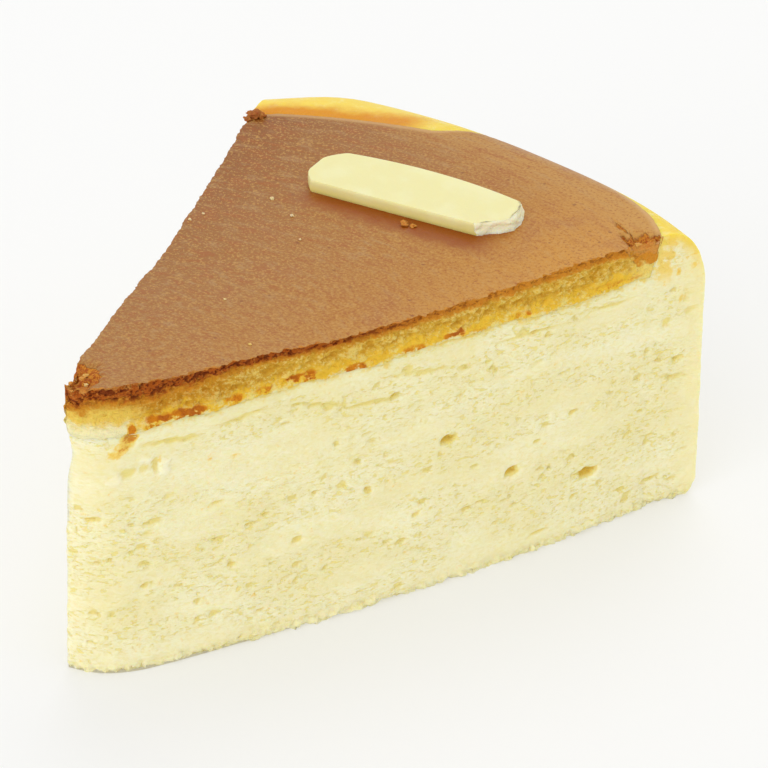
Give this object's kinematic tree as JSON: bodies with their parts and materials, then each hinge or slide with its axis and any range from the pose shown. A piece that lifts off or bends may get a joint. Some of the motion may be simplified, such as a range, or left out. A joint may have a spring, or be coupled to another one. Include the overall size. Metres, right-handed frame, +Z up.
{
  "type": "cheesecake slice",
  "caption": "Slice of tall, light baked cheesecake with an ivory crumb, a browned sponge layer on top and a plain white chocolate plaque.",
  "frame": {"origin": "on the surface that the slice stands on, under the middle of its box in plan", "axes": "+Y from the point end towards the round rim, +X towards the right cut face seen from the point end, +Z up out of the skin"},
  "size_m": [0.074, 0.0952, 0.0459],
  "materials": {
    "ivory_crumb": "matt, moist and finely porous baked cream cheese crumb, golden at the rim",
    "browned_sponge": "smooth satin brown skin over coarse yellow crumb",
    "white_chocolate": "smooth pale chocolate with a soft sheen"
  },
  "bodies": {
    "root": {"cheesecake_body": "ivory_crumb", "sponge_layer": "browned_sponge", "chocolate_plaque": "white_chocolate"}
  },
  "joints": []
}
